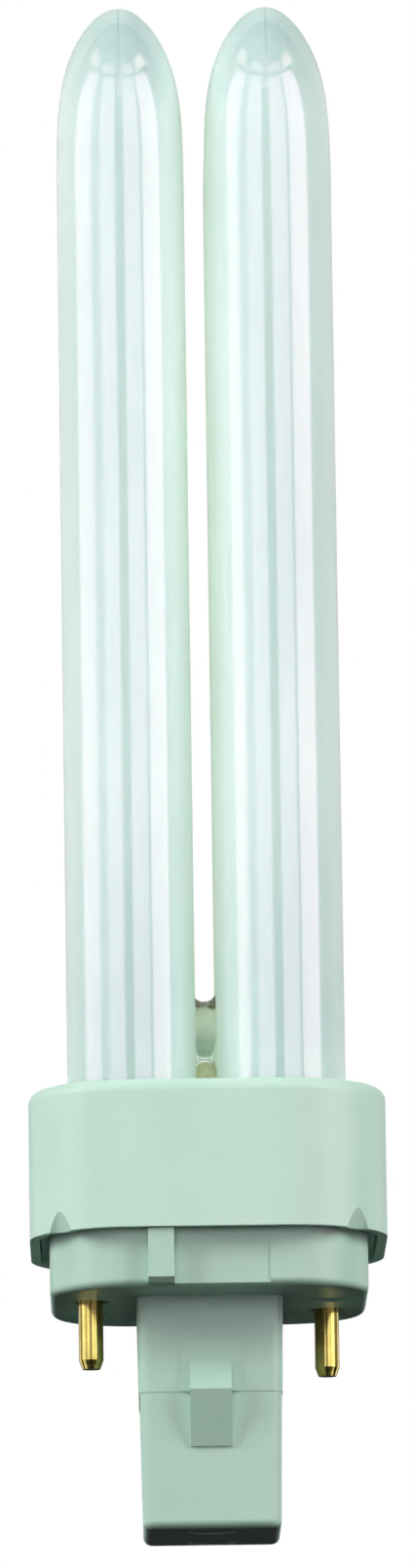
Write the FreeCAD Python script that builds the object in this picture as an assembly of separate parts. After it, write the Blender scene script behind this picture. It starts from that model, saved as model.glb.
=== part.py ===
import FreeCAD, Part
import math
import os
from FreeCAD import Vector

os.makedirs("parts", exist_ok=True)

# All lengths are millimetres. The origin is the middle of the cap's seat, the face that meets a
# lampholder. The tubes rise along +Z, the plug post goes down, and -Y is the front.

# Glass tube: two U-bent tubes, side by side, joined by one bridge
tube_diameter = 12.5
limb_gap = 2.0
glass_wall = 1.0
crest_height = 129.5
crest_width = 10.0
crest_taper = 0.22
crest_fade = 1.6
crest_run = 6.5
foot_height = 9.0
foot_thickness = 1.6
foot_round = 2.0
bridge_diameter = 5.8
bridge_bore = 3.8
bridge_height = 28.2
bridge_blend = 0.9
join_tolerance = 0.001
section_points = 20
bend_stations = 24
exhaust_diameter = 2.8
exhaust_length = 1.2
exhaust_round = 0.7

# Housing, a moulded shell that the tube ends are cemented into
bundle_margin = 2.3
housing_wall = 1.5
housing_roof = 1.4
housing_height = 14.4
housing_corner = 10.0
housing_edge = 1.2
rim_wall = 0.95
rim_height = 5.6
tube_clearance = 0.15
dent_width = 3.1
dent_height = 1.95
dent_depth = 0.8
dent_wall = 0.8

# Cement that bonds the tube ends, with a small mound between the limbs
cement_thickness = 5.6
mound_diameter = 4.4
mound_height = 4.0
mound_tip = 1.7
mound_round = 0.75

# Cap: flange inside the housing's rim, plinth below it and hollow plug post
flange_recess = 0.6
flange_thickness = 1.6
flange_clearance = 0.15
plinth_inset = 1.9
plinth_wall = 1.5
plinth_floor = 1.6
plinth_edge = 0.8
panel_width = 11.7
panel_depth = 0.15
key_width = 2.5
key_offset = 4.65
key_reach = 1.5
key_gap = 0.1
key_foot = 0.3
key_chamfer = 0.5
post_width = 14.0
post_depth = 17.0
post_length = 22.5
post_draft = 0.35
post_wall = 1.3
post_corner = 1.1
post_inner_corner = 0.4
post_edge = 0.8
parting_depth = 9.3
parting_step = 0.07
lug_width = 4.0
lug_reach = 1.6
lug_start = 5.5
lug_ridge = 9.2
lug_end = 14.6
lug_edge = 0.2
pad_width = 5.65
pad_reach = 0.1
end_mark_diameter = 4.7
end_mark_spacing = 10.0
end_mark_depth = 0.15

# Contact pins: one on each of two opposite corners of a four-place grid
pin_span = 23.0
pin_row = 8.0
pin_diameter = 2.4
pin_length = 6.5
pin_tip_diameter = 1.75
pin_tip_length = 0.85
pin_shank_diameter = 2.6
pin_head_diameter = 3.6
pin_head_height = 0.6
pin_tail_diameter = 1.8
pin_tail_height = 2.2
pin_cup_depth = 1.6
pin_clearance = 0.05
pin_recess_diameter = 3.8
pin_recess_depth = 0.35

# Cathodes: a coil across two lead-in wires, in the front limb of each U
lead_diameter = 0.6
lead_spacing = 3.6
lead_tail = 1.0
cathode_height = 26.0
coil_diameter = 1.3
coil_wire = 0.3
coil_turns = 6

# Starter in the post: a glass glow switch and a capacitor beside it
starter_side_gap = 1.25
inner_gap = 0.3
starter_round = 2.4
starter_headroom = 6.5
starter_neck_height = 3.0
starter_neck_thickness = 2.4
capacitor_side_gap = 1.35
capacitor_headroom = 10.2
capacitor_edge = 0.8
joint_height = 1.4
wire_bend = 1.2

# Edges within this of a height count as lying on it
flat_tolerance = 0.0001

# Worked out from the sizes above
tube_radius = tube_diameter / 2
limb_pitch = tube_diameter + limb_gap
half_pitch = limb_pitch / 2
bend_height = crest_height - half_pitch - tube_radius
bend_start = bend_height - crest_run
rear_limb = half_pitch
front_limb = -half_pitch
housing_size = 2 * limb_pitch - limb_gap + 2 * (bundle_margin + housing_wall)
housing_top = rim_height + housing_height
roof_bottom = housing_top - housing_roof
flange_bottom = rim_height + flange_recess
flange_top = flange_bottom + flange_thickness
plinth_size = housing_size - 2 * plinth_inset
plinth_corner = housing_corner - plinth_inset
post_inner_depth = post_depth - 2 * (post_wall + post_draft)
post_floor = post_wall - post_length
post_inner_width = post_width - 2 * (post_wall + post_draft)
starter_diameter = post_inner_width - 2 * starter_side_gap
starter_neck_width = starter_diameter - 2 * starter_round
starter_lead_x = starter_neck_width / 2 - lead_diameter
starter_y = inner_gap + starter_diameter / 2 - post_inner_depth / 2
capacitor_width = post_inner_width - 2 * capacitor_side_gap
capacitor_depth = post_inner_depth - starter_diameter - 3 * inner_gap
capacitor_y = post_inner_depth / 2 - inner_gap - capacitor_depth / 2
starter_top = -starter_headroom
neck_top = starter_top + starter_neck_height
joint_z = neck_top + joint_height
lead_z = foot_height - lead_tail


def rounded_square(width, depth, corner, z):
    # Outline of a rectangle with round corners, flat at height z
    x = width / 2
    y = depth / 2
    cut = corner * (1 - math.sqrt(0.5))
    edges = []
    for sx, sy in ((1, 1), (-1, 1), (-1, -1), (1, -1)):
        start = Vector(sx * x, sy * (y - corner), z)
        end = Vector(sx * (x - corner), sy * y, z)
        if sx != sy:
            start, end = end, start
        middle = Vector(sx * (x - cut), sy * (y - cut), z)
        if edges:
            edges.append(Part.LineSegment(edges[-1].EndPoint, start))
        edges.append(Part.Arc(start, middle, end))
    edges.append(Part.LineSegment(edges[-1].EndPoint, edges[0].StartPoint))
    return Part.Wire([edge.toShape() for edge in edges])


def block(width, depth, corner, bottom, top):
    # Prism with round corners between two heights
    outline = rounded_square(width, depth, corner, bottom)
    return Part.Face(outline).extrude(Vector(0, 0, top - bottom))


def rod(diameter, x, y, bottom, top):
    # Upright cylinder between two heights
    return Part.makeCylinder(diameter / 2, top - bottom, Vector(x, y, bottom))


def turned(points, x, y):
    # Solid turned about an upright axis at x, y from (radius, height) points
    corners = [Vector(radius, 0, height) for radius, height in points]
    profile = Part.Face(Part.makePolygon(corners + corners[:1]))
    solid = profile.revolve(Vector(0, 0, 0), Vector(0, 0, 1), 360)
    return solid.translated(Vector(x, y, 0))


def half_turned(shape):
    # The same shape on the opposite side of the lamp's axis
    return shape.rotated(Vector(0, 0, 0), Vector(0, 0, 1), 180)


def outline_edges(shape, z):
    # Edges that lie flat at height z
    flat = []
    for edge in shape.Edges:
        box = edge.BoundBox
        if abs(box.ZMin - z) < flat_tolerance and abs(box.ZMax - z) < flat_tolerance:
            flat.append(edge)
    return flat


def wire_run(points, diameter, bend):
    # Round wire along straight runs that are joined by tangent arcs
    edges = []
    start = points[0]
    for before, corner, after in zip(points, points[1:], points[2:]):
        back = (before - corner).normalize()
        ahead = (after - corner).normalize()
        opening = back.getAngle(ahead)
        reach = bend / math.tan(opening / 2)
        bisector = (back + ahead).normalize()
        middle = corner + bisector * (bend / math.sin(opening / 2) - bend)
        enter = corner + back * reach
        leave = corner + ahead * reach
        edges.append(Part.makeLine(start, enter))
        edges.append(Part.Arc(enter, middle, leave).toShape())
        start = leave
    edges.append(Part.makeLine(start, points[-1]))
    path = Part.Wire(edges)
    circle = Part.makeCircle(diameter / 2, points[0], points[1] - points[0])
    return path.makePipeShell([Part.Wire(circle)], True, True)


def bend_station(distance):
    # Point and outward direction on a bend's centre line, by the distance along it
    arc_length = math.pi * half_pitch
    if distance <= crest_run:
        return Vector(0, front_limb, bend_start + distance), Vector(0, -1, 0)
    if distance >= crest_run + arc_length:
        height = bend_height - (distance - crest_run - arc_length)
        return Vector(0, rear_limb, height), Vector(0, 1, 0)
    turn = (distance - crest_run) / half_pitch
    outward = Vector(0, -math.cos(turn), math.sin(turn))
    return Vector(0, 0, bend_height) + outward * half_pitch, outward


def bend_section(x, distance, length, inset):
    # Egg-shaped section of a bend: round on the limbs, narrow and pointed outwards at the crest
    near = max(0, min(distance, length - distance) / (length / 2))
    fade = (1 - math.cos(math.pi * near ** crest_fade)) / 2
    across = tube_radius - (tube_radius - crest_width / 2) * fade - inset
    radial = tube_radius - inset
    centre, outward = bend_station(distance)
    points = []
    for i in range(section_points):
        angle = 2 * math.pi * i / section_points
        side = across * math.cos(angle) * (1 - crest_taper * fade * math.sin(angle))
        points.append(centre + Vector(x + side, 0, 0) + outward * (radial * math.sin(angle)))
    curve = Part.BSplineCurve()
    curve.interpolate(Points=points, PeriodicFlag=True)
    return Part.Wire(curve.toShape())


def u_tube(x, inset, foot, rounding):
    # One U of round section, with its limbs closed flat and rounded at the foot
    length = 2 * crest_run + math.pi * half_pitch
    step = length / bend_stations
    sections = [bend_section(x, step * i, length, inset) for i in range(bend_stations + 1)]
    limbs = []
    for y in (front_limb, rear_limb):
        limb = rod(tube_diameter - 2 * inset, x, y, foot, bend_start)
        limbs.append(limb.makeFillet(rounding, outline_edges(limb, foot)))
    return Part.makeLoft(sections, True, False).fuse(limbs, join_tolerance).Solids[0]


def lead_places(x):
    # Lead-in wires of the cathode in the front limb at x, the pin's one first
    outer = math.copysign(lead_spacing / 2, x)
    return (x + outer, x - outer)


def discharge_tube():
    # Both U tubes and their bridge as one hollow, sealed glass body
    outside = []
    inside = []
    for x in (-half_pitch, half_pitch):
        outside.append(u_tube(x, 0, foot_height, foot_round))
        inside.append(u_tube(x, glass_wall, foot_height + foot_thickness, foot_round - glass_wall))
    along = Vector(1, 0, 0)
    start = Vector(-half_pitch, rear_limb, bridge_height)
    neck = Part.makeCylinder(bridge_diameter / 2, limb_pitch, start, along)
    glass = outside[0].fuse([outside[1], neck])
    reach = limb_gap / 2 + tube_radius / 2
    joints = []
    for edge in glass.Edges:
        middle = edge.CenterOfMass
        round_bridge = abs(middle.x) < reach and abs(middle.z - bridge_height) < bridge_diameter
        if round_bridge and abs(middle.y - rear_limb) < bridge_diameter:
            joints.append(edge)
    glass = glass.makeFillet(bridge_blend, joints)
    bore = Part.makeCylinder(bridge_bore / 2, limb_pitch, start, along)
    glass = glass.cut(inside[0].fuse([inside[1], bore]))
    tip_bottom = foot_height - exhaust_length
    tip = rod(exhaust_diameter, -half_pitch, rear_limb, tip_bottom, foot_height)
    glass = glass.fuse(tip.makeFillet(exhaust_round, outline_edges(tip, tip_bottom)))
    leads = []
    for x in (-half_pitch, half_pitch):
        for place in lead_places(x):
            leads.append(rod(lead_diameter, place, front_limb, lead_z, cathode_height))
    return glass.cut(leads)


def dent_cone(growth):
    # Cone that presses the rim in at one corner, grown for the wall behind it
    spread = (dent_width / 2) ** 2 / dent_depth
    radius = (spread + dent_depth) / 2
    height = dent_height * radius / dent_depth
    corner_middle = housing_size / 2 - housing_corner
    out = corner_middle + (housing_corner + radius - dent_depth) * math.sqrt(0.5)
    scale = (radius + growth) / radius
    return Part.makeCone(radius + growth, 0, height * scale, Vector(out, out, rim_height))


def at_corners(shape):
    # Four copies, one on each corner of the square
    axis = Vector(0, 0, 1)
    return [shape.rotated(Vector(0, 0, 0), axis, 90 * turn) for turn in range(4)]


def tube_housing():
    # Shell with a shoulder above its rim, a hole for each limb and four dents that hold the cap
    outer = block(housing_size, housing_size, housing_corner, rim_height, housing_top)
    outer = outer.makeFillet(housing_edge, outline_edges(outer, housing_top))
    inner_size = housing_size - 2 * housing_wall
    inner = block(inner_size, inner_size, housing_corner - housing_wall, flange_top, roof_bottom)
    rim_size = housing_size - 2 * rim_wall
    rim_space = block(rim_size, rim_size, housing_corner - rim_wall, rim_height, flange_top)
    shell = outer.cut(inner.fuse(rim_space))
    rim = block(housing_size, housing_size, housing_corner, rim_height, flange_top)
    bulge = dent_cone(dent_wall).common(rim)
    shell = shell.fuse(at_corners(bulge)).cut(at_corners(dent_cone(0)))
    holes = [rod(mound_diameter, 0, 0, roof_bottom, housing_top)]
    for x in (-half_pitch, half_pitch):
        for y in (front_limb, rear_limb):
            holes.append(rod(tube_diameter + 2 * tube_clearance, x, y, roof_bottom, housing_top))
    return shell.cut(holes).removeSplitter()


def tube_cement():
    # Layer under the housing's roof, round all four limbs, and the mound that stands above it
    size = housing_size - 2 * housing_wall
    bottom = roof_bottom - cement_thickness
    layer = block(size, size, housing_corner - housing_wall, bottom, roof_bottom)
    limbs = []
    for x in (-half_pitch, half_pitch):
        for y in (front_limb, rear_limb):
            limbs.append(rod(tube_diameter, x, y, bottom, roof_bottom))
    neck = rod(mound_diameter, 0, 0, roof_bottom, housing_top)
    peak = Part.makeCone(mound_diameter / 2, mound_tip / 2, mound_height, Vector(0, 0, housing_top))
    peak = peak.makeFillet(mound_round, outline_edges(peak, housing_top + mound_height))
    return layer.cut(limbs).fuse([neck, peak])


def post_block(inset, bottom, top):
    # Drafted length of the post between two heights, inset from its outside
    outlines = []
    for z in (bottom, top):
        shrink = 2 * (inset - post_draft * z / post_length)
        corner = max(post_corner - inset, post_inner_corner)
        outlines.append(rounded_square(post_width - shrink, post_depth - shrink, corner, z))
    return Part.makeLoft(outlines, True, True)


def latch_lug():
    # Wedge on the front of the post, with the pad that it stands on
    face = -post_depth / 2
    corners = []
    for y, z in ((face + post_wall, -lug_start), (face, -lug_start), (face - lug_reach, -lug_ridge),
                 (face, -lug_end), (face + post_wall, -lug_end)):
        corners.append(Vector(-lug_width / 2, y, z))
    profile = Part.Face(Part.makePolygon(corners + corners[:1]))
    wedge = profile.extrude(Vector(lug_width, 0, 0))
    crest = []
    for edge in wedge.Edges:
        if edge.BoundBox.YMax < face - lug_edge / 2:
            crest.append(edge)
    wedge = wedge.makeFillet(lug_edge, crest)
    reach = pad_reach + parting_step
    pad = Part.makeBox(pad_width, post_wall + reach, parting_depth,
                       Vector(-pad_width / 2, face - reach, -parting_depth))
    return wedge.fuse(pad)


def key_rib():
    # Upright rib on the front of the plinth, cut back at its lower end
    face = -plinth_size / 2
    front = face - key_reach
    top = rim_height - key_gap
    corners = []
    for y, z in ((face + plinth_wall, key_foot), (front + key_chamfer, key_foot),
                 (front, key_foot + key_chamfer), (front, top), (face + plinth_wall, top)):
        corners.append(Vector(-key_offset - key_width / 2, y, z))
    profile = Part.Face(Part.makePolygon(corners + corners[:1]))
    return profile.extrude(Vector(key_width, 0, 0))


def pin_places():
    # The two places that hold a pin, left one first
    return ((-pin_span / 2, -pin_row / 2), (pin_span / 2, pin_row / 2))


def base_cap():
    # One moulding: flange, plinth, hollow post, two latch lugs and two keys
    plinth = block(plinth_size, plinth_size, plinth_corner, 0, flange_bottom)
    plinth = plinth.makeFillet(plinth_edge, outline_edges(plinth, 0))
    panel = Part.makeBox(panel_width, plinth_wall, flange_bottom,
                         Vector(-panel_width / 2, panel_depth - plinth_wall - plinth_size / 2, 0))
    plinth = plinth.cut([panel, half_turned(panel)])
    grip = rim_wall + flange_clearance
    flange_size = housing_size - 2 * grip
    flange = block(flange_size, flange_size, housing_corner - grip, flange_bottom, flange_top)
    dent_room = dent_cone(dent_wall + flange_clearance)
    flange = flange.cut(at_corners(dent_room))
    upper = post_block(-parting_step, -parting_depth, 0)
    lower = post_block(0, -post_length, -parting_depth)
    lower = lower.makeFillet(post_edge, outline_edges(lower, -post_length))
    lug = latch_lug()
    key = key_rib()
    body = plinth.fuse([flange, upper, lower, lug, half_turned(lug), key, half_turned(key)])
    room_size = plinth_size - 2 * plinth_wall
    room = block(room_size, room_size, plinth_corner - plinth_wall, plinth_floor, flange_top)
    well = post_block(post_wall, post_floor, plinth_floor)
    cuts = [room, well]
    for x, y in pin_places():
        cuts.append(rod(pin_shank_diameter, x, y, 0, plinth_floor))
        cuts.append(rod(pin_head_diameter + 2 * pin_clearance, x, y, plinth_floor, flange_top))
    for x in (-pin_span / 2, pin_span / 2):
        for y in (-pin_row / 2, pin_row / 2):
            cuts.append(rod(pin_recess_diameter, x, y, 0, pin_recess_depth))
    for y in (-end_mark_spacing / 2, end_mark_spacing / 2):
        cuts.append(rod(end_mark_diameter, 0, y, -post_length, end_mark_depth - post_length))
    return body.cut(cuts).removeSplitter()


def contact_pin(x, y):
    # Turned pin with a chamfered tip, a shank in the cap's floor, a head on it and a wire cup
    head_top = plinth_floor + pin_head_height
    tail_top = head_top + pin_tail_height
    cup = lead_diameter / 2 + pin_clearance
    return turned([
        (0, -pin_length), (pin_tip_diameter / 2, -pin_length),
        (pin_diameter / 2, pin_tip_length - pin_length), (pin_diameter / 2, 0),
        (pin_shank_diameter / 2, 0), (pin_shank_diameter / 2, plinth_floor),
        (pin_head_diameter / 2, plinth_floor), (pin_head_diameter / 2, head_top),
        (pin_tail_diameter / 2, head_top), (pin_tail_diameter / 2, tail_top),
        (cup, tail_top), (cup, tail_top - pin_cup_depth), (0, tail_top - pin_cup_depth),
    ], x, y)


def cathode(x):
    # Two lead-in wires with a coil resting across their upper ends
    places = lead_places(x)
    leads = [rod(lead_diameter, place, front_limb, lead_z, cathode_height) for place in places]
    height = cathode_height + coil_wire / 2
    radius = (coil_diameter - coil_wire) / 2
    helix = Part.makeHelix(lead_spacing / coil_turns, lead_spacing, radius)
    start = Vector(radius, 0, 0)
    tangent = Vector(0, 2 * math.pi * radius, lead_spacing / coil_turns)
    circle = Part.Wire(Part.makeCircle(coil_wire / 2, start, tangent))
    coil = Part.Wire(helix).makePipeShell([circle], True, True)
    coil.rotate(Vector(0, 0, 0), Vector(0, 1, 0), 90)
    coil.translate(Vector(x - lead_spacing / 2, front_limb, height + radius))
    return Part.makeCompound(leads + [coil])


def pin_lead(x, pin_x, pin_y):
    # Wire from the outer lead of a cathode down into the cup of a pin
    start = lead_places(x)[0]
    cup_top = plinth_floor + pin_head_height + pin_tail_height
    fall = (lead_z + cup_top) / 2
    return wire_run([
        Vector(start, front_limb, lead_z), Vector(start, front_limb, fall),
        Vector(pin_x, pin_y, fall), Vector(pin_x, pin_y, cup_top - pin_cup_depth),
    ], lead_diameter, wire_bend)


def starter_lead(x):
    # Wire from the inner lead of a cathode down to the neck of the glow switch
    start = lead_places(x)[1]
    end = math.copysign(starter_lead_x, x)
    fall = plinth_floor + (lead_z - plinth_floor) / 2
    return wire_run([
        Vector(start, front_limb, lead_z), Vector(start, front_limb, fall),
        Vector(end, starter_y, fall), Vector(end, starter_y, neck_top),
    ], lead_diameter, wire_bend)


def starter_bulb():
    # Sealed glow switch: round-ended glass bottle with a pinched neck
    bottle = rod(starter_diameter, 0, starter_y, post_floor, starter_top)
    for z in (post_floor, starter_top):
        bottle = bottle.makeFillet(starter_round, outline_edges(bottle, z))
    neck = Part.makeBox(starter_neck_width, starter_neck_thickness, neck_top - starter_top + starter_round,
                        Vector(-starter_neck_width / 2, starter_y - starter_neck_thickness / 2,
                               starter_top - starter_round))
    return bottle.fuse(neck)


def starter_capacitor():
    # Dipped film capacitor whose two wires meet the glow switch's leads
    top = -capacitor_headroom
    body = Part.makeBox(capacitor_width, capacitor_depth, top - post_floor,
                        Vector(-capacitor_width / 2, capacitor_y - capacitor_depth / 2, post_floor))
    body = body.makeFillet(capacitor_edge, body.Edges)
    wires = []
    for side in (-1, 1):
        x = side * starter_lead_x
        wires.append(wire_run([
            Vector(x, capacitor_y, top), Vector(x, capacitor_y, joint_z),
            Vector(x, starter_y + lead_diameter / 2, joint_z),
        ], lead_diameter, wire_bend))
    return body.fuse(wires)


nodes = {
    "discharge_tube": discharge_tube(),
    "tube_housing": tube_housing(),
    "tube_cement": tube_cement(),
    "base_cap": base_cap(),
    "starter_bulb": starter_bulb(),
    "starter_capacitor": starter_capacitor(),
}
for name, side, place in zip(("left", "right"), (-half_pitch, half_pitch), pin_places()):
    nodes["contact_pin_" + name] = contact_pin(*place)
    nodes["cathode_" + name] = cathode(side)
    nodes["pin_lead_" + name] = pin_lead(side, *place)
    nodes["starter_lead_" + name] = starter_lead(side)

for name, shape in nodes.items():
    print(name, len(shape.Solids), "solids", round(shape.Volume, 1), "mm3", shape.isValid())
    shape.exportStep("parts/" + name + ".step")
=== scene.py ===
import math
import bpy
from mathutils import Matrix, Vector


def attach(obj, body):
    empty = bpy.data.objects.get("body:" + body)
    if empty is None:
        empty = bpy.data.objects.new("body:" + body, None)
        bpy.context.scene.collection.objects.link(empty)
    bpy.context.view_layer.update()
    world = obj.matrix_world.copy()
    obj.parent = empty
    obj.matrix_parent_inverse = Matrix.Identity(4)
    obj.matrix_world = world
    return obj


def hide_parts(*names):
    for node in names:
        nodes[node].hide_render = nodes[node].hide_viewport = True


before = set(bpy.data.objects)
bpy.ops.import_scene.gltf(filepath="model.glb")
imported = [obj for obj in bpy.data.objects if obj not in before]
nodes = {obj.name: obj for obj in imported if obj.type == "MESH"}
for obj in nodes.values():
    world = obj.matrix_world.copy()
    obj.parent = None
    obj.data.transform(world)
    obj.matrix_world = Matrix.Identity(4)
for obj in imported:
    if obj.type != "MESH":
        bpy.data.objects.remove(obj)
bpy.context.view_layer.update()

scene = bpy.context.scene
mm = 0.001
calc = "ShaderNodeMath"
span = "ShaderNodeMapRange"  # moves a value from one range to another and holds it at the ends
noiseSpread = (0.3, 0.7)  # where most values of a noise pattern lie


def toLinear(text):
    # sRGB hex to the linear colour that sockets take
    parts = [int(text[i:i + 2], 16) / 255 for i in (1, 3, 5)]
    lit = [c / 12.92 if c <= 0.04045 else ((c + 0.055) / 1.055) ** 2.4 for c in parts]
    return (*lit, 1)


def addNode(tree, kind, inputs=None, stops=None, **settings):
    # One node: an input takes a value, an output, or a node for its first output;
    # stops are a ramp's colours
    node = tree.nodes.new(kind)
    for key, value in settings.items():
        setattr(node, key, value)
    for i, (share, colour) in enumerate((stops or {}).items()):
        node.color_ramp.elements[i].position = share
        node.color_ramp.elements[i].color = toLinear(colour)
    for key, value in (inputs or {}).items():
        if isinstance(value, bpy.types.Node):
            value = value.outputs[0]
        if isinstance(value, bpy.types.NodeSocket):
            tree.links.new(value, node.inputs[key])
        else:
            node.inputs[key].default_value = value
    return node


def newMaterial(name):
    # An empty material, its tree, and where each point lies on the object
    material = bpy.data.materials.new(name)
    material.use_nodes = True
    tree = material.node_tree
    tree.nodes.clear()
    return material, tree, addNode(tree, "ShaderNodeTexCoord").outputs["Object"]


def makeFinish(name, look):
    # A finish of noise patterns, sized in mm: each may give two tones, a range of roughness or a relief
    material, tree, place = newMaterial(name)
    sockets = dict(look["surface"])
    for pattern in look["patterns"]:
        run = addNode(tree, "ShaderNodeMapping", {
            "Vector": place, "Scale": pattern.get("run", (1, 1, 1))})
        noise = addNode(tree, "ShaderNodeTexNoise", {
            "Vector": run, "Scale": 1 / (pattern["size"] * mm), "Detail": pattern["detail"]})
        if "tones" in pattern:
            stops = dict(zip(noiseSpread, pattern["tones"]))
            sockets["Base Color"] = addNode(tree, "ShaderNodeValToRGB", {0: noise}, stops)
        if "rough" in pattern:
            low, high = pattern["rough"]
            sockets["Roughness"] = addNode(tree, span, {
                0: noise, 1: noiseSpread[0], 2: noiseSpread[1], 3: low, 4: high})
        if "height" in pattern:
            relief = {"Height": noise, "Distance": pattern["height"] * mm}
            if "Normal" in sockets:
                relief["Normal"] = sockets["Normal"]
            sockets["Normal"] = addNode(tree, "ShaderNodeBump", relief)
    shader = addNode(tree, "ShaderNodeBsdfPrincipled", sockets)
    addNode(tree, "ShaderNodeOutputMaterial", {0: shader})
    return material


# Bent tubes, in mm: one rule gives both, round on the limbs and narrow and pointed at the crest
tube = {
    "sizes": {"Radius": 6.25, "Half Pitch": 7.25, "Bend Height": 116.0, "Foot": 9.0,
              "Crest Run": 6.5, "Crest Half Width": 5.0},
    "shares": {"Crest Taper": 0.22, "Crest Fade": 1.6},
    "mesh": {"Segments": 112, "Rings": 170},
    "bendShare": 0.32,  # of all rings, from the crest to where each limb turns plain
}
limbRadius = tube["sizes"]["Radius"]
halfPitch = tube["sizes"]["Half Pitch"]


def tubeTree():
    # Bends a barrel of radius 1 and length 1, whose middle becomes the crest
    barrelEnd = 0.5
    bendShare = tube["bendShare"]
    tree = bpy.data.node_groups.new("bentTube", "GeometryNodeTree")
    face = tree.interface
    for name in [*tube["sizes"], *tube["shares"], "Side"]:
        face.new_socket(name, in_out="INPUT", socket_type="NodeSocketFloat")
    for name in tube["mesh"]:
        face.new_socket(name, in_out="INPUT", socket_type="NodeSocketInt")
    face.new_socket("Material", in_out="INPUT", socket_type="NodeSocketMaterial")
    face.new_socket("Geometry", in_out="OUTPUT", socket_type="NodeSocketGeometry")
    given = addNode(tree, "NodeGroupInput").outputs
    barrel = addNode(tree, "GeometryNodeMeshCylinder", {
        "Vertices": given["Segments"], "Side Segments": given["Rings"], "Radius": 1.0, "Depth": 1.0},
        fill_type="NGON")
    spot = addNode(tree, "GeometryNodeInputPosition")
    across, outward, rise = addNode(tree, "ShaderNodeSeparateXYZ", {0: spot}).outputs
    # Distance from the crest along the path: many rings round the bend, few on the plain limbs
    off = addNode(tree, calc, {0: rise}, operation="ABSOLUTE")
    way = addNode(tree, calc, {0: rise}, operation="SIGN")
    quarter = addNode(tree, calc, {0: given["Half Pitch"], 1: math.pi / 2}, operation="MULTIPLY")
    shaped = addNode(tree, calc, {0: quarter, 1: given["Crest Run"]}, operation="ADD")
    limb = addNode(tree, calc, {0: given["Bend Height"], 1: given["Foot"]}, operation="SUBTRACT")
    plain = addNode(tree, calc, {0: limb, 1: given["Crest Run"]}, operation="SUBTRACT")
    gone = addNode(tree, span, {0: off, 1: 0.0, 2: bendShare, 3: 0.0, 4: shaped})
    limbGone = addNode(tree, span, {0: off, 1: bendShare, 2: barrelEnd, 3: 0.0, 4: plain})
    gone = addNode(tree, calc, {0: gone, 1: limbGone}, operation="ADD")
    turn = addNode(tree, span, {0: gone, 1: 0.0, 2: quarter, 3: 0.0, 4: math.pi / 2})
    drop = addNode(tree, calc, {0: turn, 1: given["Half Pitch"]}, operation="MULTIPLY")
    drop = addNode(tree, calc, {0: gone, 1: drop}, operation="SUBTRACT")
    # How far the section has changed from a circle: 0 on the limbs, 1 at the crest, eased as half a wave
    near = addNode(tree, span, {0: off, 1: 0.0, 2: bendShare, 3: 1.0, 4: 0.0})
    near = addNode(tree, calc, {0: near, 1: given["Crest Fade"]}, operation="POWER")
    near = addNode(tree, calc, {0: near, 1: math.pi}, operation="MULTIPLY")
    fade = addNode(tree, calc, {0: near}, operation="COSINE")
    fade = addNode(tree, calc, {0: fade, 1: -0.5, 2: 0.5}, operation="MULTIPLY_ADD")
    half = addNode(tree, span, {0: fade, 3: given["Radius"], 4: given["Crest Half Width"]})
    taper = addNode(tree, calc, {0: fade, 1: given["Crest Taper"]}, operation="MULTIPLY")
    taper = addNode(tree, calc, {0: taper, 1: outward}, operation="MULTIPLY")
    taper = addNode(tree, calc, {0: 1.0, 1: taper}, operation="SUBTRACT")
    # Each point's place, from the section's width and its reach from the middle of the bend
    side = addNode(tree, calc, {0: half, 1: across}, operation="MULTIPLY")
    side = addNode(tree, calc, {0: side, 1: taper}, operation="MULTIPLY")
    reach = addNode(tree, calc, {
        0: given["Radius"], 1: outward, 2: given["Half Pitch"]}, operation="MULTIPLY_ADD")
    x = addNode(tree, calc, {0: given["Side"], 1: side}, operation="SUBTRACT")
    y = addNode(tree, calc, {0: turn}, operation="SINE")
    y = addNode(tree, calc, {0: y, 1: way}, operation="MULTIPLY")
    y = addNode(tree, calc, {0: y, 1: reach}, operation="MULTIPLY")
    z = addNode(tree, calc, {0: given["Bend Height"], 1: drop}, operation="SUBTRACT")
    upright = addNode(tree, calc, {0: turn}, operation="COSINE")
    z = addNode(tree, calc, {0: upright, 1: reach, 2: z}, operation="MULTIPLY_ADD")
    spot = addNode(tree, "ShaderNodeCombineXYZ", {0: x, 1: y, 2: z})
    moved = addNode(tree, "GeometryNodeSetPosition", {"Geometry": barrel, "Position": spot})
    smooth = addNode(tree, "GeometryNodeSetShadeSmooth", {"Geometry": moved})
    real = addNode(tree, "GeometryNodeRealizeInstances", {"Geometry": smooth})
    coated = addNode(tree, "GeometryNodeSetMaterial", {"Geometry": real, "Material": given["Material"]})
    addNode(tree, "NodeGroupOutput", {0: coated})
    return tree


def fromTree(name, tree, values):
    # Evaluates a node tree into a plain mesh object
    holder = bpy.data.objects.new(name + "Source", bpy.data.meshes.new(name + "Source"))
    scene.collection.objects.link(holder)
    modifier = holder.modifiers.new("shape", "NODES")
    modifier.node_group = tree
    for item in tree.interface.items_tree:
        if item.name in values:
            modifier[item.identifier] = values[item.name]
    holder.update_tag()
    graph = bpy.context.evaluated_depsgraph_get()
    mesh = bpy.data.meshes.new_from_object(holder.evaluated_get(graph))
    holder.modifiers.remove(modifier)
    bpy.data.objects.remove(holder)
    piece = bpy.data.objects.new(name, mesh)
    scene.collection.objects.link(piece)
    return piece


def finishPiece(piece, slot, *replaced):
    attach(piece, "root")
    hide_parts(*replaced)


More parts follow.
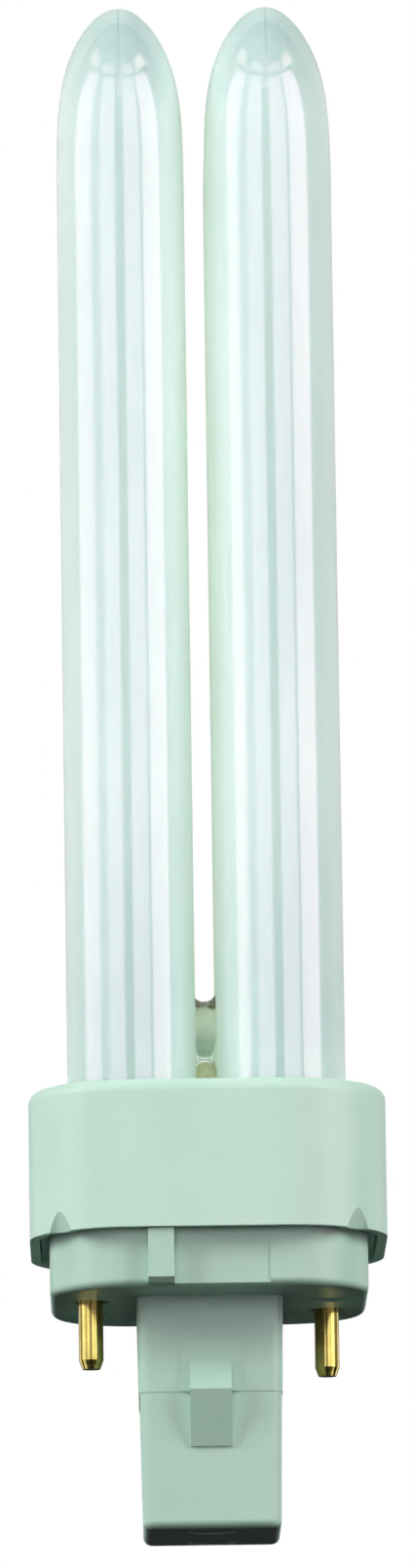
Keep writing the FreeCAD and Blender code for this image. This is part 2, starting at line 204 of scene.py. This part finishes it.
# Fluorescent coat on the inside of clear glass: milky mint under a hard, slightly wavy gloss.
# It is darker over the bend and towards the foot, painted shade that offsets the extra light falling
# there, paler on the thick glass above an arch at the crest, and marked by the mould's seam there. Heights
# and sizes in mm
coat = {
    # The darker tone serves both the thin coat and the painted shade
    "thinAndShaded": "#90b0ae", "thick": "#dcf0ee",
    "dustSize": 9, "dustRun": (1, 1, 0.2), "dustDetail": 3, "dustShare": (0.75, 0.95),
    # Painted shade over the bend and towards the foot, in shares of the tone
    "bendFrom": 116, "bendTo": 126, "bendShade": 0.69,
    "footFrom": 50, "footTo": 20, "footShade": 0.3,
    "archTop": 126.2, "archCurve": 0.34, "archEdge": 0.2, "archPales": 0.11,
    "seamHalf": 0.05, "seamEdge": 0.1, "seamThins": 0.16, "seamHeight": 0.03,
    "waveSize": 12, "waveRun": (1, 1, 0.2), "waveDetail": 1, "waveHeight": 0.03,
    "glossFrom": 0.35, "glossTo": 0.7, "glossEdge": 0.4,
    "scatter": 10, "lampTint": "#d2cdc0",
}


def makeCoatedGlass():
    material, tree, place = newMaterial("coatedGlass")
    split = addNode(tree, "ShaderNodeSeparateXYZ", {0: place})
    level = split.outputs[2]
    run = addNode(tree, "ShaderNodeMapping", {"Vector": place, "Scale": coat["dustRun"]})
    coatAndShade = addNode(tree, "ShaderNodeTexNoise", {
        "Vector": run, "Scale": 1 / (coat["dustSize"] * mm), "Detail": coat["dustDetail"]})
    thinnest, thickest = coat["dustShare"]
    coatAndShade = addNode(tree, span, {
        0: coatAndShade, 1: noiseSpread[0], 2: noiseSpread[1], 3: thinnest, 4: thickest})
    bent = addNode(tree, span, {0: level, 1: coat["bendFrom"] * mm, 2: coat["bendTo"] * mm})
    low = addNode(tree, span, {0: level, 1: coat["footFrom"] * mm, 2: coat["footTo"] * mm})
    # Painted shade: darker over the bend and towards the foot
    coatAndShade = addNode(tree, calc, {0: bent, 1: -coat["bendShade"], 2: coatAndShade}, operation="MULTIPLY_ADD")
    coatAndShade = addNode(tree, calc, {0: low, 1: -coat["footShade"], 2: coatAndShade}, operation="MULTIPLY_ADD")
    # Arch and seam, by the distance from the tube's own middle plane
    aside = addNode(tree, calc, {0: split}, operation="ABSOLUTE")
    aside = addNode(tree, calc, {0: aside, 1: halfPitch * mm}, operation="SUBTRACT")
    aside = addNode(tree, calc, {0: aside}, operation="ABSOLUTE")
    arch = addNode(tree, calc, {0: aside, 1: aside}, operation="MULTIPLY")
    arch = addNode(tree, calc, {0: arch, 1: coat["archCurve"] / mm, 2: level}, operation="MULTIPLY_ADD")
    archEnd = coat["archTop"] + coat["archEdge"]
    arch = addNode(tree, span, {
        0: arch, 1: coat["archTop"] * mm, 2: archEnd * mm, 4: coat["archPales"]})
    coatAndShade = addNode(tree, calc, {0: arch, 1: bent, 2: coatAndShade}, operation="MULTIPLY_ADD")
    seamEnd = coat["seamHalf"] + coat["seamEdge"]
    seam = addNode(tree, span, {0: aside, 1: seamEnd * mm, 2: coat["seamHalf"] * mm})
    seam = addNode(tree, calc, {0: seam, 1: bent}, operation="MULTIPLY")
    coatAndShade = addNode(tree, calc, {0: seam, 1: -coat["seamThins"], 2: coatAndShade}, operation="MULTIPLY_ADD")
    milk = addNode(tree, "ShaderNodeValToRGB", {0: coatAndShade}, {0.0: coat["thinAndShaded"], 1.0: coat["thick"]})
    run = addNode(tree, "ShaderNodeMapping", {"Vector": place, "Scale": coat["waveRun"]})
    waves = addNode(tree, "ShaderNodeTexNoise", {
        "Vector": run, "Scale": 1 / (coat["waveSize"] * mm), "Detail": coat["waveDetail"]})
    relief = addNode(tree, "ShaderNodeBump", {"Height": waves, "Distance": coat["waveHeight"] * mm})
    relief = addNode(tree, "ShaderNodeBump", {
        "Height": seam, "Distance": coat["seamHeight"] * mm, "Normal": relief})
    # The gloss is full where the glass faces the eye and dull at its edges, which keep their outline
    facing = addNode(tree, "ShaderNodeLayerWeight", {"Blend": 0.5}).outputs["Facing"]
    gloss = addNode(tree, span, {
        0: facing, 1: coat["glossFrom"], 2: coat["glossTo"], 3: 1.0, 4: coat["glossEdge"]})
    milky = addNode(tree, "ShaderNodeBsdfPrincipled", {
        "Base Color": milk, "Roughness": 0.75, "Specular IOR Level": 0.0,
        "Subsurface Weight": 1.0, "Subsurface Radius": (1, 1, 1), "Subsurface Scale": coat["scatter"] * mm,
        "Coat Weight": gloss, "Coat Roughness": 0.02, "Coat IOR": 2.0, "Coat Normal": relief})
    # Some of a lamp's light goes on through the tube, so the shadows behind it are pale
    lampRay = addNode(tree, "ShaderNodeLightPath").outputs["Is Shadow Ray"]
    clear = addNode(tree, "ShaderNodeBsdfTransparent", {"Color": toLinear(coat["lampTint"])})
    milky = addNode(tree, "ShaderNodeMixShader", {0: lampRay, 1: milky, 2: clear})
    addNode(tree, "ShaderNodeOutputMaterial", {0: milky})
    return material


bentTube = tubeTree()
coatedGlass = makeCoatedGlass()
tubes = []
for name, side in (("tubeLeft", -1), ("tubeRight", 1)):
    values = {key: value * mm for key, value in tube["sizes"].items()}
    values.update(tube["shares"])
    values.update(tube["mesh"])
    values["Side"] = side * halfPitch * mm
    values["Material"] = coatedGlass
    tubes.append(fromTree(name, bentTube, values))
    finishPiece(tubes[-1], "coated_glass", "discharge_tube")
print("tubes done")

# Clear soda-lime glass: pale green in its thickness, sharp bright edges, scorched brown along its top
glass = {
    "clear": "#dbe4d8", "scorched": "#3a2e1a", "scorchFrom": 31.2, "scorchTo": 31.6,
    "raggedSize": 0.9, "raggedRun": (1, 1, 0.5), "raggedDetail": 3, "raggedHeight": 2.4,
    "waveSize": 3, "waveDetail": 1, "waveHeight": 0.05,
}


def makeClearGlass():
    material, tree, place = newMaterial("clearGlass")
    level = addNode(tree, "ShaderNodeSeparateXYZ", {0: place}).outputs[2]
    run = addNode(tree, "ShaderNodeMapping", {"Vector": place, "Scale": glass["raggedRun"]})
    ragged = addNode(tree, "ShaderNodeTexNoise", {
        "Vector": run, "Scale": 1 / (glass["raggedSize"] * mm), "Detail": glass["raggedDetail"]})
    level = addNode(tree, calc, {
        0: ragged, 1: glass["raggedHeight"] * mm, 2: level}, operation="MULTIPLY_ADD")
    scorch = addNode(tree, span, {0: level, 1: glass["scorchFrom"] * mm, 2: glass["scorchTo"] * mm})
    tone = addNode(tree, "ShaderNodeValToRGB", {0: scorch}, {0.0: glass["clear"], 1.0: glass["scorched"]})
    waves = addNode(tree, "ShaderNodeTexNoise", {
        "Vector": place, "Scale": 1 / (glass["waveSize"] * mm), "Detail": glass["waveDetail"]})
    relief = addNode(tree, "ShaderNodeBump", {"Height": waves, "Distance": glass["waveHeight"] * mm})
    pane = addNode(tree, "ShaderNodeBsdfPrincipled", {
        "Base Color": tone, "Roughness": 0.02, "IOR": 1.52, "Transmission Weight": 1.0, "Normal": relief})
    addNode(tree, "ShaderNodeOutputMaterial", {0: pane})
    return material


# Dust in the bore of the bridge: the lamp's coat worn thin, pale grey-green
neckDust = makeFinish("neckDust", {
    "surface": {"Roughness": 0.9, "Specular IOR Level": 0.1},
    "patterns": [{"size": 1.2, "detail": 4, "run": (1, 1, 0.3),
                  "tones": ("#c4d8d6", "#d6e9e8"), "height": 0.1}]})

# Bridge, in mm: a short clear neck that flares into the two rear limbs and sinks a little into them
neck = {"radius": 2.9, "flare": 3.8, "bore": 1.75, "height": 28.2, "sink": 0.06,
        "around": 72, "along": 28}


def onLimb(offset):
    # Where a limb's face lies beside the middle plane, at a distance from the limb's own plane
    return halfPitch - math.sqrt(limbRadius ** 2 - offset ** 2)


def flared(share):
    swell = 1 - math.sqrt(max(0.0, 1 - share * share))
    return neck["radius"] + (neck["flare"] - neck["radius"]) * swell


def straight(share):
    return neck["bore"]


def neckRings(radiusAt):
    # Rings of points from the left limb to the right one
    rings = []
    for i in range(neck["along"] + 1):
        share = -math.cos(math.pi * i / neck["along"])
        radius = radiusAt(share)
        ring = []
        for j in range(neck["around"]):
            angle = 2 * math.pi * j / neck["around"]
            end = onLimb(radiusAt(1.0) * math.cos(angle)) + neck["sink"]
            ring.append((share * end * mm,
                         (halfPitch + radius * math.cos(angle)) * mm,
                         (neck["height"] + radius * math.sin(angle)) * mm))
        rings.append(ring)
    return rings


# The rings run along the outside and back through the bore
outer = neckRings(flared)
inner = neckRings(straight)
loops = outer + inner[::-1]
points = [point for ring in loops for point in ring]
faces = []
around = neck["around"]
for i in range(len(loops)):
    a = i * around
    b = (i + 1) % len(loops) * around
    for j in range(around):
        k = (j + 1) % around
        faces.append((a + j, a + k, b + k, b + j))
mesh = bpy.data.meshes.new("glassBridge")
mesh.from_pydata(points, [], faces)
mesh.materials.append(makeClearGlass())
mesh.materials.append(neckDust)
for face in mesh.polygons[len(outer) * around:-around]:
    face.material_index = 1  # the bore
mesh.shade_smooth()
bridge = bpy.data.objects.new("glassBridge", mesh)
scene.collection.objects.link(bridge)
bridge.visible_shadow = False
finishPiece(bridge, "coated_glass", "discharge_tube")
print("bridge done")

# Housing: moulded polyester, satin mint, its grain drawn coarser than life so that it shows
housingPlastic = makeFinish("housingPlastic", {
    "surface": {"Specular IOR Level": 0.5, "IOR": 1.6},
    "patterns": [{"size": 6, "detail": 4, "tones": ("#bcdfcf", "#c2e3d4"), "rough": (0.36, 0.46)},
                 {"size": 0.16, "detail": 2, "height": 0.012}]})

# Cap: the same polyester, a shade darker, with faint sink marks under the grain
capPlastic = makeFinish("capPlastic", {
    "surface": {"Specular IOR Level": 0.5, "IOR": 1.6},
    "patterns": [{"size": 5, "detail": 4, "tones": ("#a8ccbc", "#aed2c1"), "rough": (0.36, 0.46)},
                 {"size": 1.1, "detail": 2, "height": 0.012},
                 {"size": 0.2, "detail": 2, "height": 0.01}]})

# Bonding cement: dull olive paste with a gritty skin
bondingCement = makeFinish("bondingCement", {
    "surface": {"Roughness": 0.85, "Specular IOR Level": 0.3},
    "patterns": [{"size": 0.5, "detail": 5, "tones": ("#a6b295", "#c0ccae"), "height": 0.15}]})

# Turned brass: yellow metal, a little tarnished, the lathe's rings drawn coarser than life
turnedBrass = makeFinish("turnedBrass", {
    "surface": {"Metallic": 1.0},
    "patterns": [{"size": 1.5, "detail": 4, "tones": ("#a39250", "#b8a763")},
                 {"size": 0.12, "detail": 2, "run": (0.02, 0.02, 1),
                  "rough": (0.1, 0.18), "height": 0.002}]})

# Nickel-plated lead wire: grey metal, drawn along its length
leadWire = makeFinish("leadWire", {
    "surface": {"Metallic": 1.0},
    "patterns": [{"size": 0.3, "detail": 3, "run": (1, 1, 0.1),
                  "tones": ("#9c9a95", "#bdbab3"), "rough": (0.25, 0.4)}]})

# Glow switch glass: grey from the metal mist inside it, glossy
mistedGlass = makeFinish("mistedGlass", {
    "surface": {"Roughness": 0.12, "Coat Weight": 1.0, "Coat Roughness": 0.05},
    "patterns": [{"size": 2.5, "detail": 3, "tones": ("#8f9794", "#b6bdba")}]})

# Dipped capacitor: waxy ochre coat, uneven where it ran
dippedCoat = makeFinish("dippedCoat", {
    "surface": {"Roughness": 0.35},
    "patterns": [{"size": 3, "detail": 3, "run": (1, 1, 0.5),
                  "tones": ("#a8722f", "#bd8840"), "height": 0.2}]})

# CAD pieces that keep their own shape
dressed = {"tube_housing": housingPlastic, "base_cap": capPlastic, "tube_cement": bondingCement,
           "starter_bulb": mistedGlass, "starter_capacitor": dippedCoat}
for side in ("left", "right"):
    dressed["contact_pin_" + side] = turnedBrass
    for wire in ("cathode_", "pin_lead_", "starter_lead_"):
        dressed[wire + side] = leadWire
for name, material in dressed.items():
    for i in range(len(nodes[name].data.materials)):
        nodes[name].data.materials[i] = material
print("plain pieces dressed")


def bearing(azimuth, elevation=0.0):
    # The way out from the object: azimuth 0 is its front, 90 its right
    turned = math.radians(azimuth)
    raised = math.radians(elevation)
    level = math.cos(raised)
    return Vector((math.sin(turned) * level, -math.cos(turned) * level, math.sin(raised)))


# Camera, in mm and degrees: a long lens from a little below, as in the photo
shot = {"target": (0.48, 0.0, 51.59), "distance": 1039.2, "azimuth": -0.53, "elevation": -10.16,
        "roll": -0.815, "sensor": 36.0, "lens": 243.34, "nearest": 10.0}
back = bearing(shot["azimuth"], shot["elevation"])
right = Vector((0, 0, 1)).cross(back).normalized()
up = back.cross(right)
spin = Matrix((right, up, back)).transposed() @ Matrix.Rotation(math.radians(shot["roll"]), 3, "Z")
stand = (Vector(shot["target"]) + back * shot["distance"]) * mm
camera = bpy.data.objects.new("camera", bpy.data.cameras.new("camera"))
camera.data.sensor_fit = "VERTICAL"
camera.data.sensor_height = shot["sensor"]
camera.data.lens = shot["lens"]
camera.data.clip_start = shot["nearest"] * mm
camera.matrix_world = Matrix.Translation(stand) @ spin.to_4x4()
scene.collection.objects.link(camera)
scene.camera = camera
print("camera done")


def addLamp(name, spot, aim, width, height, power, colour):
    light = bpy.data.lights.new(name, "AREA")
    light.shape = "RECTANGLE"
    light.size = width
    light.size_y = height
    light.energy = power
    light.color = toLinear(colour)[:3]
    holder = bpy.data.objects.new(name, light)
    holder.location = spot
    holder.rotation_euler = (spot - aim).to_track_quat("Z", "Y").to_euler()
    holder.visible_camera = False
    scene.collection.objects.link(holder)
    return holder


# Keys: soft lamps that light the object and leave no mark in its gloss, in metres and degrees
keys = {
    "reach": 1.6, "aim": (0, 0, 0.055), "colour": "#fffefa",
    "lamps": {
        "keyLeft": {"azimuth": -68, "elevation": 25, "size": 0.7, "light": 2.85},
        "keyRight": {"azimuth": 62, "elevation": 25, "size": 0.7, "light": 2.36},
        "keyFront": {"azimuth": -6, "elevation": 5, "size": 0.6, "light": 0.84},
        "keyBack": {"azimuth": 172, "elevation": 16, "size": 0.9, "light": 2.0},
    },
}
keyAim = Vector(keys["aim"])
for name, key in keys["lamps"].items():
    spot = keyAim + bearing(key["azimuth"], key["elevation"]) * keys["reach"]
    power = key["light"] * math.pi * keys["reach"] ** 2
    lamp = addLamp(name, spot, keyAim, key["size"], key["size"], power, keys["colour"])
    lamp.visible_glossy = False

# Cards: upright panels that only the gloss shows, as streaks down the glass, in metres and degrees.
# The four front bars have a pane above them for the domes, turned further out. Every card has a skirt
# for the tubes alone, which gives the streaks from above, and a white copy for the metal pins alone
cards = {
    "reach": 1.2, "foot": -0.5, "high": 1.35, "skirtFoot": -1.4, "paneEnds": (1.5, 2.05),
    "pinFoot": -0.68, "pinColour": "#ffffff",
    "panels": {
        "windowLeft": {"across": (-92, -10), "glow": 0.7, "colour": "#e8dcff"},
        "windowRight": {"across": (6, 80), "glow": 0.7, "colour": "#e8dcff"},
        "barFarLeft": {"across": (-88, -55), "pane": (-104, -69), "glow": 1.5, "colour": "#ffd0e0"},
        "barLeft": {"across": (-38, -10), "pane": (-49, -13), "glow": 1.3, "colour": "#ffccee"},
        "barRight": {"across": (6, 35), "pane": (8, 46), "glow": 1.4, "colour": "#ffccee"},
        "barFarRight": {"across": (41, 75), "pane": (53, 91), "glow": 2.2, "colour": "#ffd0e0"},
        "barBackLeft": {"across": (-140, -114), "high": 0.15, "glow": 2.0, "colour": "#e6f2ee"},
        "barBackRight": {"across": (114, 140), "high": 0.15, "glow": 2.0, "colour": "#e6f2ee"},
    },
}


def addCard(name, across, low, high, card):
    width = 2 * cards["reach"] * math.tan(math.radians(across[1] - across[0]) / 2)
    aim = Vector((0, 0, (low + high) / 2))
    spot = aim + bearing(sum(across) / 2) * cards["reach"]
    power = card["glow"] * math.pi * width * (high - low)
    lamp = addLamp(name, spot, aim, width, high - low, power, card["colour"])
    lamp.visible_diffuse = False
    return lamp


glassOnly = bpy.data.collections.new("glassOnly")
for piece in tubes:
    glassOnly.objects.link(piece)
pinsOnly = bpy.data.collections.new("pinsOnly")
allButPins = bpy.data.collections.new("allButPins")
for side in ("left", "right"):
    pinsOnly.objects.link(nodes["contact_pin_" + side])
    allButPins.objects.link(nodes["contact_pin_" + side])
for pin in allButPins.collection_objects:
    pin.light_linking.link_state = "EXCLUDE"
for name, card in cards["panels"].items():
    high = card.get("high", cards["high"])
    tinted = addCard(name, card["across"], cards["foot"], high, card)
    tinted.light_linking.receiver_collection = allButPins
    white = {**card, "colour": cards["pinColour"]}
    plain = addCard(name + "Pins", card["across"], cards["pinFoot"], high, white)
    plain.light_linking.receiver_collection = pinsOnly
    skirt = addCard(name + "Skirt", card["across"], cards["skirtFoot"], cards["foot"], card)
    skirt.light_linking.receiver_collection = glassOnly
    if "pane" in card:
        addCard(name + "Pane", card["pane"], *cards["paneEnds"], card)
print("lamps done")

# World: soft light for surfaces, plain white behind the object, and a dim room in the gloss.
# The ends of each change are parts of a unit direction, -Y at the front and Z up
room = {
    "soft": "#f6f9f6", "front": 0.1, "back": 0.3, "turnFrom": -0.1, "turnTo": 0.6,
    "under": 0.05, "horizon": 0.04,
    "shineUnder": 0.03, "shine": 0.3, "shineFrom": -0.02, "shineTo": 0.06,
    "overhead": 0.2, "overheadFrom": 0.5, "overheadTo": 0.95,
}
world = bpy.data.worlds.new("room")
scene.world = world
world.use_nodes = True
tree = world.node_tree
tree.nodes.clear()
facing = addNode(tree, "ShaderNodeTexCoord").outputs["Generated"]
facing = addNode(tree, "ShaderNodeSeparateXYZ", {0: facing}).outputs
light = addNode(tree, span, {
    0: facing[1], 1: room["turnFrom"], 2: room["turnTo"], 3: room["front"], 4: room["back"]})
above = addNode(tree, span, {
    0: facing[2], 1: -room["horizon"], 2: room["horizon"], 3: room["under"], 4: 1.0})
light = addNode(tree, calc, {0: light, 1: above}, operation="MULTIPLY")
soft = addNode(tree, "ShaderNodeBackground", {"Color": toLinear(room["soft"]), "Strength": light})
white = addNode(tree, "ShaderNodeBackground", {"Color": (1, 1, 1, 1), "Strength": 1.0})
path = addNode(tree, "ShaderNodeLightPath").outputs
seen = addNode(tree, calc, {
    0: path["Is Camera Ray"], 1: path["Is Transmission Ray"]}, operation="MAXIMUM")
shine = addNode(tree, span, {
    0: facing[2], 1: room["shineFrom"], 2: room["shineTo"], 3: room["shineUnder"], 4: room["shine"]})
overhead = addNode(tree, span, {
    0: facing[2], 1: room["overheadFrom"], 2: room["overheadTo"], 3: 0.0, 4: room["overhead"]})
shine = addNode(tree, calc, {0: shine, 1: overhead}, operation="ADD")
shine = addNode(tree, calc, {0: shine, 1: path["Is Glossy Ray"]}, operation="MULTIPLY")
seen = addNode(tree, calc, {0: seen, 1: shine}, operation="MAXIMUM")
mixed = addNode(tree, "ShaderNodeMixShader", {0: seen, 1: soft, 2: white})
addNode(tree, "ShaderNodeOutputWorld", {0: mixed})

# Floor, in metres: pale paper where the camera sees it, fading out to the white, dim for the light
# it throws back up, and clear from below
sheet = {"drop": 0.26, "reach": 0.8, "sides": 96, "fadeFrom": 0.4, "fadeTo": 0.83,
         "pale": "#f4f6f5", "dim": "#1c1d1e"}
rim = []
for i in range(sheet["sides"]):
    angle = 2 * math.pi * i / sheet["sides"]
    rim.append((sheet["reach"] * math.cos(angle), sheet["reach"] * math.sin(angle), -sheet["drop"]))
mesh = bpy.data.meshes.new("floor")
mesh.from_pydata(rim, [], [tuple(range(sheet["sides"]))])
floor = bpy.data.objects.new("floor", mesh)
scene.collection.objects.link(floor)
floor.visible_glossy = False
paper, tree, place = newMaterial("floorPaper")
dim = addNode(tree, "ShaderNodeBsdfDiffuse", {"Color": toLinear(sheet["dim"])})
pale = addNode(tree, "ShaderNodeBsdfDiffuse", {"Color": toLinear(sheet["pale"])})
white = addNode(tree, "ShaderNodeEmission", {"Color": (1, 1, 1, 1), "Strength": 1.0})
away = addNode(tree, "ShaderNodeVectorMath", {0: place}, operation="LENGTH").outputs["Value"]
away = addNode(tree, span, {
    0: away, 1: sheet["fadeFrom"], 2: sheet["fadeTo"]}, interpolation_type="SMOOTHSTEP")
pale = addNode(tree, "ShaderNodeMixShader", {0: away, 1: pale, 2: white})
path = addNode(tree, "ShaderNodeLightPath").outputs
seen = addNode(tree, calc, {
    0: path["Is Camera Ray"], 1: path["Is Transmission Ray"]}, operation="MAXIMUM")
mixed = addNode(tree, "ShaderNodeMixShader", {0: seen, 1: dim, 2: pale})
below = addNode(tree, "ShaderNodeNewGeometry").outputs["Backfacing"]
clear = addNode(tree, "ShaderNodeBsdfTransparent")
mixed = addNode(tree, "ShaderNodeMixShader", {0: below, 1: mixed, 2: clear})
addNode(tree, "ShaderNodeOutputMaterial", {0: mixed})
mesh.materials.append(paper)

scene.view_settings.view_transform = "Standard"
print("stage done")
